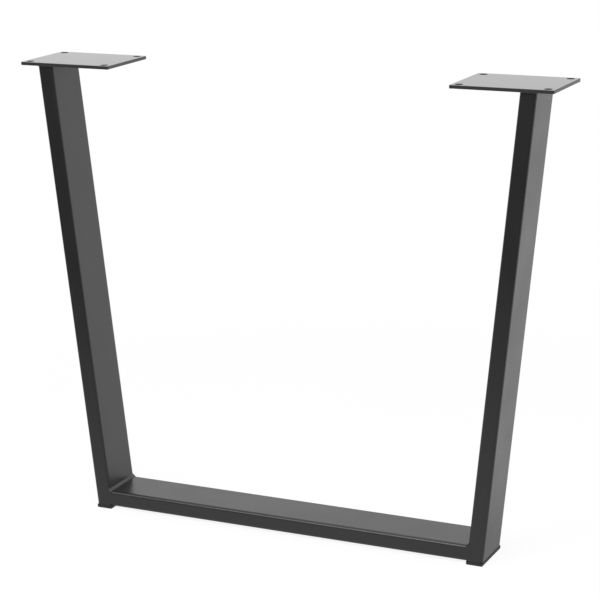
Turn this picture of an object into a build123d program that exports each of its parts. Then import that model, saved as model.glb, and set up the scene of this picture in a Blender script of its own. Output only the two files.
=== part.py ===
"""V-shaped table leg: a flat-bottomed welded frame of rectangular steel tube, with a screw plate on top of
each upright and a plastic end plug as each foot.

Millimetres. X runs across the frame, Y through its depth with the front at -Y, and Z up. The origin is on
the floor, below the middle of the two plates.
"""

from build123d import *
import os
from math import cos, radians, sin, tan

# Frame
total_height = 710.0
floor_width = 650.0  # over the uprights' outer faces, carried down to the floor
lean_angle = 6.0  # outward lean of each upright, in degrees from the vertical

# Rectangular steel tube, the same for both uprights and the crossbar
tube_depth = 80.0
tube_width = 25.0
tube_wall = 2.5
tube_corner = 5.0  # outer radius of the tube's long edges
bore_corner = 2.5  # inner radius of those edges

# Screw plates
plate_length = 153.0
plate_depth = 120.0
plate_thickness = 5.0
plate_corner = 2.0
plate_edge = 0.5  # bevel of the plate's rim, top and bottom
plate_overhang = 26.5  # past the upright's outer face
plate_front_overhang = 5.0  # past the upright's front face
hole_diameter = 12.0
hole_end_inset = 11.5  # from a hole's centre to the plate's end
hole_side_inset = 10.0  # from a hole's centre to the plate's front or back

# End plugs
flange_thickness = 5.0
flange_proud = 0.5  # past the tube's faces
flange_corner = 2.0  # radius of the flange's upright edges
flange_edge = 1.5  # rounding of its lower rim
plug_length = 22.0  # from the flange into the tube
plug_wall = 2.5
plug_clearance = 1.2  # between the plug's box and the tube's bore
fin_count = 3
fin_first = 5.0  # from the flange to the first fin
fin_pitch = 6.0
fin_thickness = 1.2
fin_clearance = 0.1  # between a fin and the tube's bore

# Welds
corner_leg = 3.5  # leg of the fillet between upright and crossbar
corner_round = 2.5  # rounding of that fillet's front and back ends
corner_tip = 0.8  # the weld stops this far short of the tangent line of a rounded tube edge
plate_leg = 1.5  # leg of the fillet round the upright, under the plate

# Worked out from the sizes above
lean = radians(lean_angle)
frame_y = plate_front_overhang + tube_depth / 2 - plate_depth / 2
upright_bottom = flange_thickness
upright_top = total_height - plate_thickness
section_width = tube_width / cos(lean)  # of an upright, cut level
bore_width = tube_width - 2 * tube_wall
bore_depth = tube_depth - 2 * tube_wall
crossbar_top = upright_bottom + tube_width
weld_reach = tube_corner - corner_tip
sides = {"left": -1, "right": 1}

os.makedirs("parts", exist_ok=True)


def axis_x(side, height):
    """Where an upright's centre line stands, at a height above the floor."""
    return side * (floor_width / 2 - section_width / 2 + height * tan(lean))


def across_upright(side):
    """The plane across an upright at the floor: x out of the outer face, z up the tube."""
    outwards = (side * cos(lean), 0, -sin(lean))
    upwards = (side * sin(lean), 0, cos(lean))
    return Plane(origin=(axis_x(side, 0), frame_y, 0), x_dir=outwards, z_dir=upwards)


def inner_face(side):
    """The plane of an upright's inner face, facing out of the frame."""
    across = across_upright(side)
    return Plane(origin=across.origin - across.x_dir * tube_width / 2, z_dir=across.x_dir)


crossbar_middle = (0, frame_y, crossbar_top - tube_width / 2)
across_crossbar = Plane(origin=crossbar_middle, x_dir=(0, 1, 0), z_dir=(1, 0, 0))

# Crossbar: a tube lying flat, its ends cut to the lean of the uprights
with BuildPart() as crossbar_outline:
    with BuildSketch(across_crossbar):
        RectangleRounded(tube_depth, tube_width, tube_corner)
    extrude(amount=floor_width, both=True)
    for side in sides.values():
        split(bisect_by=inner_face(side), keep=Keep.BOTTOM)

with BuildPart() as crossbar:
    add(crossbar_outline.part)
    with BuildSketch(across_crossbar):
        RectangleRounded(bore_depth, bore_width, bore_corner)
    extrude(amount=floor_width, both=True, mode=Mode.SUBTRACT)
crossbar.part.label = "crossbar"
export_step(crossbar.part, "parts/crossbar.step")

for name, side in sides.items():
    # Upright: a leaning tube, both ends cut level
    with BuildPart() as outline:
        with BuildSketch(across_upright(side)):
            RectangleRounded(tube_width, tube_depth, tube_corner)
        extrude(amount=(total_height + tube_width) / cos(lean), both=True)
        split(bisect_by=Plane.XY.offset(upright_bottom), keep=Keep.TOP)
        split(bisect_by=Plane.XY.offset(upright_top), keep=Keep.BOTTOM)

    with BuildPart() as upright:
        add(outline.part)
        with BuildSketch(across_upright(side)):
            RectangleRounded(bore_width, bore_depth, bore_corner)
        extrude(amount=(total_height + tube_width) / cos(lean), both=True, mode=Mode.SUBTRACT)
    upright.part.label = f"{name}_upright"
    export_step(upright.part, f"parts/{name}_upright.step")

    # Corner weld: a fillet across the inner corner, which runs down the front and back of the butt joint to
    # fill the hollows that the tubes' rounded edges leave there, flush with the frame's faces
    corner_x = axis_x(side, crossbar_top) - side * section_width / 2
    corner_plane = Plane(origin=(corner_x, frame_y, crossbar_top), x_dir=(-side, 0, 0), z_dir=(0, side, 0))
    crossbar_toe = (corner_leg, 0)
    upright_toe = (-corner_leg * sin(lean), corner_leg * cos(lean))
    inside_upright = (upright_toe[0] - weld_reach * cos(lean), upright_toe[1] - weld_reach * sin(lean))
    with BuildPart() as corner_weld:
        with BuildSketch(across_crossbar):
            RectangleRounded(tube_depth, tube_width, tube_corner)
        extrude(amount=floor_width, both=True)
        split(bisect_by=inner_face(side), keep=Keep.TOP)
        split(bisect_by=inner_face(side).offset(weld_reach), keep=Keep.BOTTOM)
        with BuildSketch(corner_plane):
            with BuildLine():
                Polyline(
                    crossbar_toe,
                    upright_toe,
                    inside_upright,
                    (-weld_reach, -weld_reach),
                    (corner_leg, -weld_reach),
                    close=True,
                )
            make_face()
        extrude(amount=tube_depth / 2, both=True)
        face_middle = ((crossbar_toe[0] + upright_toe[0]) / 2, upright_toe[1] / 2)
        for end in (-1, 1):
            end_point = corner_plane.from_local_coords((*face_middle, end * tube_depth / 2))
            fillet(corner_weld.edges().sort_by_distance(end_point)[0], radius=corner_round)
        add(outline.part, mode=Mode.SUBTRACT)
        add(crossbar_outline.part, mode=Mode.SUBTRACT)
    corner_weld.part.label = f"{name}_corner_weld"
    export_step(corner_weld.part, f"parts/{name}_corner_weld.step")

    # Screw plate: flat bar with four holes, the upright near its outer end
    plate_x = axis_x(side, upright_top) + side * (section_width / 2 + plate_overhang - plate_length / 2)
    with BuildPart() as plate:
        with BuildSketch(Plane.XY.offset(upright_top)):
            with Locations((plate_x, 0)):
                RectangleRounded(plate_length, plate_depth, plate_corner)
        extrude(amount=plate_thickness)
        chamfer(plate.faces().filter_by(Axis.Z).edges(), length=plate_edge)
        with Locations((plate_x, 0, total_height)):
            with GridLocations(plate_length - 2 * hole_end_inset, plate_depth - 2 * hole_side_inset, 2, 2):
                Hole(radius=hole_diameter / 2)
    plate.part.label = f"{name}_top_plate"
    export_step(plate.part, f"parts/{name}_top_plate.step")

    # Plate weld: a fillet all round the upright, under the plate
    weld_drop = plate_leg + tube_wall
    with BuildPart() as plate_weld:
        with BuildSketch(Plane.XY.offset(upright_top)):
            with Locations((axis_x(side, upright_top), frame_y)):
                RectangleRounded(
                    section_width + 2 * plate_leg,
                    tube_depth + 2 * plate_leg,
                    tube_corner + plate_leg,
                )
        with BuildSketch(Plane.XY.offset(upright_top - weld_drop)):
            with Locations((axis_x(side, upright_top - weld_drop), frame_y)):
                RectangleRounded(section_width - 2 * tube_wall, bore_depth, bore_corner)
        loft()
        add(outline.part, mode=Mode.SUBTRACT)
    plate_weld.part.label = f"{name}_plate_weld"
    export_step(plate_weld.part, f"parts/{name}_plate_weld.step")

    # End plug: a level flange under the tube, and a leaning box inside it with fins that grip the bore
    box_size = (bore_width - 2 * plug_clearance, bore_depth - 2 * plug_clearance)
    box_hollow = (box_size[0] - 2 * plug_wall, box_size[1] - 2 * plug_wall)
    flange_middle = flange_thickness / 2 / cos(lean)
    flange_top = flange_thickness / cos(lean)
    with BuildPart() as plug:
        with BuildSketch():
            with Locations((axis_x(side, flange_thickness), frame_y)):
                RectangleRounded(
                    section_width + 2 * flange_proud,
                    tube_depth + 2 * flange_proud,
                    flange_corner,
                )
        extrude(amount=flange_thickness)
        fillet(plug.faces().sort_by(Axis.Z)[0].edges(), radius=flange_edge)
        with BuildSketch(across_upright(side).offset(flange_middle)):
            Rectangle(*box_size)
            Rectangle(*box_hollow, mode=Mode.SUBTRACT)
        extrude(amount=flange_top - flange_middle + plug_length)
        for fin in range(fin_count):
            with BuildSketch(across_upright(side).offset(flange_top + fin_first + fin * fin_pitch)) as outer:
                Rectangle(bore_width - 2 * fin_clearance, bore_depth - 2 * fin_clearance)
                chamfer(outer.vertices(), length=bore_corner)
                Rectangle(*box_hollow, mode=Mode.SUBTRACT)
            extrude(amount=fin_thickness)
    plug.part.label = f"{name}_end_plug"
    export_step(plug.part, f"parts/{name}_end_plug.step")
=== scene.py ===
"""Looks of the v-shaped table leg: a welded frame of black powder-coated steel tube on plastic end plugs.

Metres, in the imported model's frame: X across the frame, Y through its depth with the front at -Y, Z up.
"""

import math
import bpy
import numpy as np
from mathutils import Matrix, Vector


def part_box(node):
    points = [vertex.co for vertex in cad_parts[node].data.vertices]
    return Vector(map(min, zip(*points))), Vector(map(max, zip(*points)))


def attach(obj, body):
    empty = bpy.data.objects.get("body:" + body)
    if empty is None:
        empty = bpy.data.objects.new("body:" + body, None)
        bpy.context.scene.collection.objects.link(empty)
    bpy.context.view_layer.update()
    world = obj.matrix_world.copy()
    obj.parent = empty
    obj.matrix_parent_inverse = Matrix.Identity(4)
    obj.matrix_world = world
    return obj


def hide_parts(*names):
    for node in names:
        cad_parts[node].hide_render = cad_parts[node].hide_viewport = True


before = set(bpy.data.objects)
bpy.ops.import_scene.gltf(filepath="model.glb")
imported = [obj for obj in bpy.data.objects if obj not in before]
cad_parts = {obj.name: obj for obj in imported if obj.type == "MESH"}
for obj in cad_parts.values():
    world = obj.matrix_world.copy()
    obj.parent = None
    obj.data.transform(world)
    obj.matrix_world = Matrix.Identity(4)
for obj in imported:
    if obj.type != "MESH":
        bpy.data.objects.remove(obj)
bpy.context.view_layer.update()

# Uprights: two lengths of cold-formed rectangular steel tube, cut level at both ends, leaning outwards.
# They are welded to the crossbar and the screw plates, and the whole frame is then blasted, sprayed with
# black polyester powder and baked in one piece, so all the steel wears the same coat.
mm = 0.001
sides = {"left": -1, "right": 1}
coat_black = "#131315"
coat_black_thin = "#181819"
tube_roughness = (0.24, 0.38)
tube_peel = 0.05 * mm


def linear(hex_colour):
    """Linear RGBA of an sRGB hex colour: each channel through the sRGB transfer curve."""
    channels = np.array([int(hex_colour[i : i + 2], 16) for i in (1, 3, 5)]) / 255
    low = channels / 12.92
    high = ((channels + 0.055) / 1.055) ** 2.4
    return (*np.where(channels <= 0.04045, low, high).tolist(), 1.0)


def add_node(tree, kind, inputs=None, **settings):
    """Adds a node. Settings are its properties, and inputs its sockets, each a value or an output to link."""
    made = tree.nodes.new(kind)
    for name, value in settings.items():
        setattr(made, name, value)
    for socket, value in (inputs or {}).items():
        if isinstance(value, bpy.types.NodeSocket):
            tree.links.new(value, made.inputs[socket])
        else:
            made.inputs[socket].default_value = value
    return made


def new_material(name):
    """An empty material, its node tree and its output node."""
    material = bpy.data.materials.new(name)
    material.use_nodes = True
    material.node_tree.nodes.clear()
    output = add_node(material.node_tree, "ShaderNodeOutputMaterial")
    return material, material.node_tree, output


def satin_powder_coat(name, roughness, peel_height, top_roughness=None, edge_painted_highlight=None):
    """Polyester powder, sprayed and baked: the melt levels to a satin film that mirrors the room softly,
    keeps a fine orange peel, and lies a little thicker here than there, so gloss and blackness drift over a
    hand's breadth. Flat bar also has a top roughness, because on faces that look up the melt flows out
    flatter, and an edge black, a painted highlight: faces that aren't level get that greyer black, for the
    light that rounder rims would catch."""
    coat_ior = 1.6
    peel_size = 2.2 * mm  # real peel is about 1 mm across, which is too fine to show
    film_size = 70 * mm
    flat_turn = (0.75, 0.95)  # Z of a face's normal, between which an edge turns into a flat face
    material, tree, output = new_material(name)
    place = add_node(tree, "ShaderNodeTexCoord").outputs["Object"]
    peel = add_node(
        tree,
        "ShaderNodeTexNoise",
        {"Vector": place, "Scale": 1 / peel_size, "Detail": 3.0, "Roughness": 0.55},
    ).outputs["Fac"]
    film = add_node(
        tree,
        "ShaderNodeTexNoise",
        {"Vector": place, "Scale": 1 / film_size, "Detail": 2.0, "Roughness": 0.5},
    ).outputs["Fac"]
    # Of the Mix node's sockets, 6 and 7 are the two colours, and output 2 is the mixed one.
    colour = add_node(
        tree,
        "ShaderNodeMix",
        {"Factor": film, 6: linear(coat_black), 7: linear(coat_black_thin)},
        data_type="RGBA",
    ).outputs[2]
    dullness = add_node(
        tree,
        "ShaderNodeMapRange",
        {"Value": film, "To Min": roughness[0], "To Max": roughness[1]},
    ).outputs["Result"]
    if top_roughness and edge_painted_highlight:
        normal = add_node(tree, "ShaderNodeNewGeometry").outputs["Normal"]
        upward = add_node(tree, "ShaderNodeSeparateXYZ", {0: normal}).outputs["Z"]
        either_way = add_node(tree, "ShaderNodeMath", {0: upward}, operation="ABSOLUTE").outputs["Value"]
        on_top, on_flat = [
            add_node(
                tree,
                "ShaderNodeMapRange",
                {"Value": facing, "From Min": flat_turn[0], "From Max": flat_turn[1]},
            ).outputs["Result"]
            for facing in (upward, either_way)
        ]
        top_dullness = add_node(
            tree,
            "ShaderNodeMapRange",
            {"Value": film, "To Min": top_roughness[0], "To Max": top_roughness[1]},
        ).outputs["Result"]
        dullness = add_node(
            tree,
            "ShaderNodeMix",
            {"Factor": on_top, "A": dullness, "B": top_dullness},
        ).outputs["Result"]
        # Painted highlight: faces that aren't level get the greyer edge black, for the light of rounder rims.
        colour = add_node(
            tree,
            "ShaderNodeMix",
            {"Factor": on_flat, 6: linear(edge_painted_highlight), 7: colour},
            data_type="RGBA",
        ).outputs[2]
    bump = add_node(
        tree,
        "ShaderNodeBump",
        {"Height": peel, "Distance": peel_height, "Strength": 1.0},
    ).outputs["Normal"]
    shader = add_node(
        tree,
        "ShaderNodeBsdfPrincipled",
        {"Base Color": colour, "Roughness": dullness, "Normal": bump, "IOR": coat_ior},
    ).outputs["BSDF"]
    tree.links.new(shader, output.inputs["Surface"])
    return material


tube_coat = satin_powder_coat("satin_black_powder_coat", tube_roughness, tube_peel)
for side in sides:
    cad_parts[f"{side}_upright"].material_slots[0].material = tube_coat

# Crossbar: the same steel tube lying flat, its ends sawn to the lean of the uprights and butted against their
# inner faces, a plug's thickness above the floor. It is coated together with them.
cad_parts["crossbar"].material_slots[0].material = tube_coat

# Corner welds: a fillet of weld metal run across each inner corner, then down the front and back of the butt
# joint, where it is ground flush before coating. The solid gives that form, and a thin bead that lies on its
# sloping face adds what the hand left: a low crown, ripples, and a line that wanders a little.
lean = math.radians(6)  # of the uprights
corner_crown = 0.4 * mm
corner_root = 0.6 * mm  # how deep the bead's underside lies below the solid's face
corner_bead_reach = 36.5 * mm  # to each side of the middle, short of the weld's rounded ends
corner_bead_taper = 5 * mm
bead_step = 0.4 * mm


def weld_bead(name, toe_a, toe_b, root, outward, crown, taper, closed):
    """A weld bead: a section carried along a run. Toes, root, outward and taper have a row for each step.

    A section goes from toe a to toe b, where the bead meets the steel, and back by the root, which is buried.
    At share t of the way between the toes, a point is their straight mix, moved outward by the rise. The rise
    is the crown times a half sine of t, times 1 plus a ripple plus a wander. The ripple is a cosine along the
    run whose crests bow back where the bead is high, as a puddle's edge freezes, and the wander is two slow
    sines along the run. Whole numbers of waves fit the run, so that a closed bead has no seam. The taper,
    from 1 down to 0, sinks the bead at its ends.
    """
    section_points = 11
    ripple_pitch = 2.0 * mm
    ripple_share = 0.14
    ripple_bow = 0.35
    wander_pitches = (23 * mm, 9 * mm)
    wander_share = 0.2
    wander_phase = 1.0  # of the shorter sine at the start of the run, in radians
    end_sink = 0.3 * mm
    crease = math.radians(40)
    across = np.linspace(0, 1, section_points)
    middle = (toe_a + toe_b) / 2
    ahead = np.roll(middle, -1, axis=0) if closed else np.vstack([middle[1:], middle[-1:]])
    step = np.linalg.norm(ahead - middle, axis=1)
    length = step.sum()
    share = ((np.cumsum(step) - step) / length)[:, None]
    ripple_waves = round(length / ripple_pitch)
    long_waves, short_waves = [round(length / pitch) for pitch in wander_pitches]
    arch = np.sin(np.pi * across)
    ripple = np.cos(2 * np.pi * (ripple_waves * share + ripple_bow * arch))
    wander = np.sin(2 * np.pi * long_waves * share) + np.sin(2 * np.pi * short_waves * share + wander_phase)
    rise = crown * arch * (1 + ripple_share * ripple + wander_share * wander)
    rise = rise * taper[:, None] - end_sink * (1 - taper[:, None])
    mix = across[:, None]
    face = toe_a[:, None] * (1 - mix) + toe_b[:, None] * mix + outward[:, None] * rise[..., None]
    sections = np.concatenate([face, root[:, None]], axis=1)
    index = np.arange(sections.shape[0] * sections.shape[1]).reshape(sections.shape[:2])
    near = index if closed else index[:-1]
    far = np.roll(index, -1, axis=0) if closed else index[1:]
    quads = np.stack([near, np.roll(near, -1, axis=1), np.roll(far, -1, axis=1), far], axis=-1)
    faces = quads.reshape(-1, 4).tolist()
    if not closed:
        faces += [index[0, ::-1].tolist(), index[-1].tolist()]
    mesh = bpy.data.meshes.new(name)
    mesh.from_pydata(sections.reshape(-1, 3).tolist(), [], faces)
    mesh.shade_smooth()
    mesh.set_sharp_from_angle(angle=crease)
    mesh.materials.append(tube_coat)
    bead = bpy.data.objects.new(name, mesh)
    bpy.context.scene.collection.objects.link(bead)
    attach(bead, "root")
    return bead


bar_low, bar_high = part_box("crossbar")
frame_y = (bar_low.y + bar_high.y) / 2
corner_leg = bar_high.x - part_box("right_corner_weld")[0].x
bead_y = np.arange(-corner_bead_reach, corner_bead_reach, bead_step)
end_room = (corner_bead_reach - np.abs(bead_y)) / corner_bead_taper
bead_taper = np.sin(np.clip(end_room, 0, 1) * np.pi / 2)
chord_out = np.array([-math.cos(lean), 0, 1 + math.sin(lean)])
chord_out = chord_out / np.linalg.norm(chord_out)
toe_rise = [bar_high.x + corner_leg * math.sin(lean), 0, bar_high.z + corner_leg * math.cos(lean)]
for side, sign in sides.items():
    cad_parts[f"{side}_corner_weld"].material_slots[0].material = tube_coat
    # The left corner is the right one, turned half round an upright line through the middle of the frame.
    half_turn = np.array([sign, sign, 1])
    along = half_turn * np.stack([0 * bead_y, bead_y, 0 * bead_y], axis=1) + [0, frame_y, 0]
    toe_on_bar = along + half_turn * [bar_high.x - corner_leg, 0, bar_high.z]
    toe_on_upright = along + half_turn * toe_rise
    outward = half_turn * np.tile(chord_out, (len(bead_y), 1))
    weld_bead(
        f"{side}_corner_bead",
        toe_on_bar,
        toe_on_upright,
        (toe_on_bar + toe_on_upright) / 2 - corner_root * outward,
        outward,
        corner_crown,
        bead_taper,
        closed=False,
    )

# Screw plates: pieces of flat steel bar with their rims broken and four holes drilled for the screws, welded
# level on top of the uprights. On their top faces the molten powder flows out flatter, so they are glossier.
# Their cut edges and the holes' walls are painted a greyer black, a painted highlight for the light that
# rounder rims would catch.
plate_roughness = (0.3, 0.42)
plate_top_roughness = (0.07, 0.13)
plate_edge_painted_highlight = "#282829"
plate_peel = 0.015 * mm
plate_coat = satin_powder_coat(
    "satin_black_powder_coat_flowed_out_edge_highlight",
    plate_roughness,
    plate_peel,
    top_roughness=plate_top_roughness,
    edge_painted_highlight=plate_edge_painted_highlight,
)
for side in sides:
    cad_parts[f"{side}_top_plate"].material_slots[0].material = plate_coat

# Plate welds: a small fillet of weld metal laid all round the top of each upright, under its plate, and
# coated with the rest. The bead stands for the plain fillet of the solid.
tube_corner = 5 * mm
plate_leg = 1.5 * mm
plate_crown = 0.3 * mm
root_inset = 0.8 * mm  # into the tube's wall
root_lift = 0.3 * mm  # into the plate
for side, sign in sides.items():
    weld_low, weld_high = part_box(f"{side}_plate_weld")
    half_x = (weld_high.x - weld_low.x) / 2 - plate_leg
    half_y = (weld_high.y - weld_low.y) / 2 - plate_leg
    # Once round the tube, from the front of its outer side: a straight, a quarter turn and so on. At each
    # step the core is the centre that the corner turns about, and the bearing is where the wall looks.
    core_x = half_x - tube_corner
    core_y = half_y - tube_corner
    quarter = tube_corner * math.pi / 2
    stretches = [2 * core_y, quarter, 2 * core_x, quarter] * 2
    knots = np.cumsum([0] + stretches)
    run = np.linspace(0, knots[-1], round(knots[-1] / bead_step), endpoint=False)
    bearing = np.interp(run, knots, np.radians([0, 0, 90, 90, 180, 180, 270, 270, 360]))
    core_at_x = np.interp(run, knots, core_x * np.array([1, 1, 1, -1, -1, -1, -1, 1, 1]))
    core_at_y = np.interp(run, knots, core_y * np.array([-1, 1, 1, 1, 1, -1, -1, -1, -1]))
    core = np.stack([core_at_x, core_at_y, 0 * run], axis=1)
    sideways = np.stack([np.cos(bearing), np.sin(bearing), 0 * run], axis=1)
    # Going down a wall moves it towards the middle of the frame, by the lean.
    down = np.array([-math.tan(lean), 0, -1])
    half_turn = np.array([sign, sign, 1])
    middle = np.array([(weld_low.x + weld_high.x) / 2, (weld_low.y + weld_high.y) / 2, weld_high.z])
    wall = core + tube_corner * sideways
    bead = weld_bead(
        f"{side}_plate_bead",
        middle + half_turn * (wall + plate_leg * sideways),
        middle + half_turn * (wall + plate_leg * down),
        middle + half_turn * (wall - root_inset * sideways - root_lift * down),
        half_turn * (sideways + [0, 0, -1]) / math.sqrt(2),
        plate_crown,
        np.ones(len(run)),
        closed=True,
    )
    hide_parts(f"{side}_plate_weld")

# End plugs: injection-moulded plastic caps pressed into the lower ends of the uprights, whose flange is the
# foot. Fins on the box inside grip the tube's bore.
plug_black = "#1a1a1b"
plug_black_light = "#222223"
plug_roughness = (0.44, 0.6)


def moulded_polyethylene():
    """Soft polyethylene, moulded against a spark-eroded tool: a dull, waxy black with a fine even grain, and
    flow marks that shift its depth a little from end to end."""
    plug_ior = 1.51
    grain_size = 1.4 * mm  # the real grain is about 0.4 mm, which is too fine to show
    grain_height = 0.06 * mm
    flow_size = 30 * mm
    material, tree, output = new_material("moulded_black_polyethylene")
    place = add_node(tree, "ShaderNodeTexCoord").outputs["Object"]
    grain = add_node(
        tree,
        "ShaderNodeTexNoise",
        {"Vector": place, "Scale": 1 / grain_size, "Detail": 4.0, "Roughness": 0.65},
    ).outputs["Fac"]
    flow = add_node(
        tree,
        "ShaderNodeTexNoise",
        {"Vector": place, "Scale": 1 / flow_size, "Detail": 1.0, "Distortion": 1.5},
    ).outputs["Fac"]
    colour = add_node(
        tree,
        "ShaderNodeMix",
        {"Factor": flow, 6: linear(plug_black), 7: linear(plug_black_light)},
        data_type="RGBA",
    ).outputs[2]
    dullness = add_node(
        tree,
        "ShaderNodeMapRange",
        {"Value": grain, "To Min": plug_roughness[0], "To Max": plug_roughness[1]},
    ).outputs["Result"]
    bump = add_node(
        tree,
        "ShaderNodeBump",
        {"Height": grain, "Distance": grain_height, "Strength": 1.0},
    ).outputs["Normal"]
    shader = add_node(
        tree,
        "ShaderNodeBsdfPrincipled",
        {"Base Color": colour, "Roughness": dullness, "Normal": bump, "IOR": plug_ior},
    ).outputs["BSDF"]
    tree.links.new(shader, output.inputs["Surface"])
    return material


plug_plastic = moulded_polyethylene()
for side in sides:
    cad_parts[f"{side}_end_plug"].material_slots[0].material = plug_plastic

# Floor: a sheet of white studio paper. Seen directly it is plain white with the leg's shadow faint on it, and
# in the gloss of the coat it is a pool of light round the leg that runs back into the white backdrop.
floor_half = 6.0
paper_white = "#f4f4f4"
pure_white = "#ffffff"
shadow_share = 0.15  # how much of the paper's own shading shows round the leg
shadow_reach = (0.9, 1.6)  # from the middle, where that shading starts to fade, and where it is gone
paper_lit = 0.7  # level of that shading where no shadow falls
pool_reach = (0.2, 1.6)  # from the middle, where the pool of light starts to fade, and where it ends
pool_fall = 0.95  # power by which it fades
pool_level = 0.75
backdrop_start = (-0.35, 0.35)  # in Y, where the lit backdrop takes over from the pool
room_dim = 0.2  # level of the unlit room in front
corners = [(x * floor_half, y * floor_half, 0) for x, y in ((-1, -1), (1, -1), (1, 1), (-1, 1))]
floor_mesh = bpy.data.meshes.new("floor")
floor_mesh.from_pydata(corners, [], [(0, 1, 2, 3)])
floor = bpy.data.objects.new("floor", floor_mesh)
bpy.context.scene.collection.objects.link(floor)
paper, tree, output = new_material("white_studio_paper")
# The paper's glow isn't sampled as a lamp, so that each kind of ray finds only the level meant for it.
paper.cycles.emission_sampling = "NONE"
paths = add_node(tree, "ShaderNodeLightPath").outputs
place = add_node(tree, "ShaderNodeTexCoord").outputs["Object"]
axes = add_node(tree, "ShaderNodeSeparateXYZ", {0: place}).outputs
reach = add_node(tree, "ShaderNodeVectorMath", {0: place}, operation="LENGTH").outputs["Value"]
near = add_node(
    tree,
    "ShaderNodeMapRange",
    {"Value": reach, "From Min": pool_reach[1], "From Max": pool_reach[0]},
).outputs["Result"]
near = add_node(tree, "ShaderNodeMath", {0: near, 1: pool_fall}, operation="POWER").outputs["Value"]
pool = add_node(
    tree,
    "ShaderNodeMapRange",
    {"Value": near, "To Min": room_dim, "To Max": pool_level},
).outputs["Result"]
behind = add_node(
    tree,
    "ShaderNodeMapRange",
    {
        "Value": axes["Y"],
        "From Min": backdrop_start[0],
        "From Max": backdrop_start[1],
        "To Min": room_dim,
        "To Max": 1.0,
    },
    interpolation_type="SMOOTHSTEP",
).outputs["Result"]
mirrored_level = add_node(
    tree,
    "ShaderNodeMath",
    {0: pool, 1: behind},
    operation="MAXIMUM",
).outputs["Value"]
# Seen directly, the white makes up for what the shading lacks, so that the paper is white outside the shadow.
direct_level = add_node(
    tree,
    "ShaderNodeMapRange",
    {
        "Value": reach,
        "From Min": shadow_reach[0],
        "From Max": shadow_reach[1],
        "To Min": (1 - shadow_share * paper_lit) / (1 - shadow_share),
        "To Max": 1.0,
    },
    interpolation_type="SMOOTHSTEP",
).outputs["Result"]
level = add_node(
    tree,
    "ShaderNodeMix",
    {"Factor": paths["Is Camera Ray"], "A": mirrored_level, "B": direct_level},
).outputs["Result"]
glow = add_node(tree, "ShaderNodeEmission", {"Color": linear(pure_white), "Strength": level}).outputs[0]
seen = add_node(
    tree,
    "ShaderNodeMath",
    {0: paths["Is Camera Ray"], 1: paths["Is Glossy Ray"]},
    operation="MAXIMUM",
).outputs["Value"]
seen = add_node(
    tree,
    "ShaderNodeMath",
    {0: seen, 1: paths["Is Transmission Ray"]},
    operation="MAXIMUM",
).outputs["Value"]
plain = add_node(
    tree,
    "ShaderNodeMapRange",
    {
        "Value": reach,
        "From Min": shadow_reach[0],
        "From Max": shadow_reach[1],
        "To Min": 1 - shadow_share,
        "To Max": 1.0,
    },
    interpolation_type="SMOOTHSTEP",
).outputs["Result"]
share = add_node(tree, "ShaderNodeMath", {0: seen, 1: plain}, operation="MULTIPLY").outputs["Value"]
matt = add_node(tree, "ShaderNodeBsdfDiffuse", {"Color": linear(paper_white)}).outputs[0]
shaded = add_node(tree, "ShaderNodeMixShader", {0: share, 1: matt, 2: glow}).outputs[0]
# From below the paper is clear, so that the leg's underside can be looked at.
underneath = add_node(tree, "ShaderNodeNewGeometry").outputs["Backfacing"]
clear = add_node(tree, "ShaderNodeBsdfTransparent").outputs[0]
one_sided = add_node(tree, "ShaderNodeMixShader", {0: underneath, 1: shaded, 2: clear}).outputs[0]
tree.links.new(one_sided, output.inputs["Surface"])
floor_mesh.materials.append(paper)

# Studio: even light from all round for the matt part of the coat. In its gloss the room is white behind and
# overhead, where the backdrop and the ceiling are, and dim low in front, where the camera stands.
room_light = 0.5
backdrop_turn = (-0.32, 0.28)  # Y of a direction, where the dim room gives way to the backdrop
ceiling_turn = (0.17, 0.57)  # Z of a direction, where the dim room gives way to the ceiling
world = bpy.data.worlds.new("studio")
bpy.context.scene.world = world
world.use_nodes = True
# As with the paper, each kind of ray finds only the level meant for it.
world.cycles.sampling_method = "NONE"
tree = world.node_tree
tree.nodes.clear()
output = add_node(tree, "ShaderNodeOutputWorld")
paths = add_node(tree, "ShaderNodeLightPath").outputs
direction = add_node(tree, "ShaderNodeTexCoord").outputs["Generated"]
axes = add_node(tree, "ShaderNodeSeparateXYZ", {0: direction}).outputs
behind, overhead = [
    add_node(
        tree,
        "ShaderNodeMapRange",
        {
            "Value": axes[axis],
            "From Min": start,
            "From Max": end,
            "To Min": room_dim,
            "To Max": 1.0,
        },
        interpolation_type="SMOOTHSTEP",
    ).outputs["Result"]
    for axis, (start, end) in (("Y", backdrop_turn), ("Z", ceiling_turn))
]
mirrored_level = add_node(
    tree,
    "ShaderNodeMath",
    {0: behind, 1: overhead},
    operation="MAXIMUM",
).outputs["Value"]
mirrored = add_node(
    tree,
    "ShaderNodeMath",
    {0: paths["Is Glossy Ray"], 1: paths["Is Transmission Ray"]},
    operation="MAXIMUM",
).outputs["Value"]
level = add_node(
    tree,
    "ShaderNodeMix",
    {"Factor": mirrored, "A": room_light, "B": mirrored_level},
).outputs["Result"]
level = add_node(
    tree,
    "ShaderNodeMix",
    {"Factor": paths["Is Camera Ray"], "A": level, "B": 1.0},
).outputs["Result"]
glow = add_node(tree, "ShaderNodeBackground", {"Color": linear(pure_white), "Strength": level}).outputs[0]
tree.links.new(glow, output.inputs["Surface"])

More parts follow.
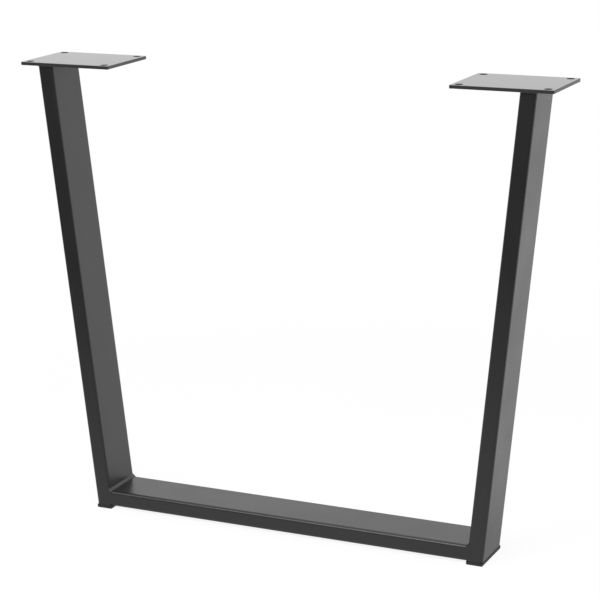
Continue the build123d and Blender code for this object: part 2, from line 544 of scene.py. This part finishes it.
# Lamps: a wide softbox in front, high enough that the plates don't mirror it, which draws the bright line
# along the top front edge of the crossbar. A long dim panel far behind makes the backdrop brightest where the
# level plates do mirror it.
lamps = {
    "softbox": {"size": (4.0, 1.1), "place": (0.1, -2.55, 2.6), "aim": (0, 0, 0.1), "radiance": 5.6},
    "back_panel": {"size": (9.0, 2.2), "place": (-3.5, 8.0, 1.7), "aim": (-3.5, 0, 1.7), "radiance": 0.13},
}
for name, plan in lamps.items():
    width, height = plan["size"]
    lamp = bpy.data.lights.new(name, "AREA")
    lamp.shape = "RECTANGLE"
    lamp.size = width
    lamp.size_y = height
    lamp.energy = plan["radiance"] * math.pi * width * height
    facing = Vector(plan["place"]) - Vector(plan["aim"])
    lamp_object = bpy.data.objects.new(name, lamp)
    lamp_object.location = plan["place"]
    lamp_object.rotation_euler = facing.to_track_quat("Z", "Y").to_euler()
    lamp_object.visible_camera = False
    bpy.context.scene.collection.objects.link(lamp_object)

# Camera: where the photograph was taken from, by a fit of the leg's straight edges to the picture, which is
# taken to be 600 pixels each way.
view_azimuth = math.radians(25.1666)
view_elevation = math.radians(14.7616)
view_roll = math.radians(-0.9055)
view_distance = 3.0649
view_target = Vector((0.0185, -0.0150, 0.3657))
focal_pixels = 2042.46
picture_pixels = 600
camera = bpy.data.cameras.new("camera")
camera.sensor_width = 36.0
camera.lens = camera.sensor_width * focal_pixels / picture_pixels
camera.clip_start = 0.1
camera.clip_end = 50.0
back = Vector(
    (
        math.sin(view_azimuth) * math.cos(view_elevation),
        -math.cos(view_azimuth) * math.cos(view_elevation),
        math.sin(view_elevation),
    )
)
view_turn = back.to_track_quat("Z", "Y").to_matrix() @ Matrix.Rotation(view_roll, 3, "Z")
camera_object = bpy.data.objects.new("camera", camera)
camera_object.matrix_world = Matrix.Translation(view_target + back * view_distance) @ view_turn.to_4x4()
bpy.context.scene.collection.objects.link(camera_object)
bpy.context.scene.camera = camera_object
bpy.context.scene.view_settings.view_transform = "Standard"
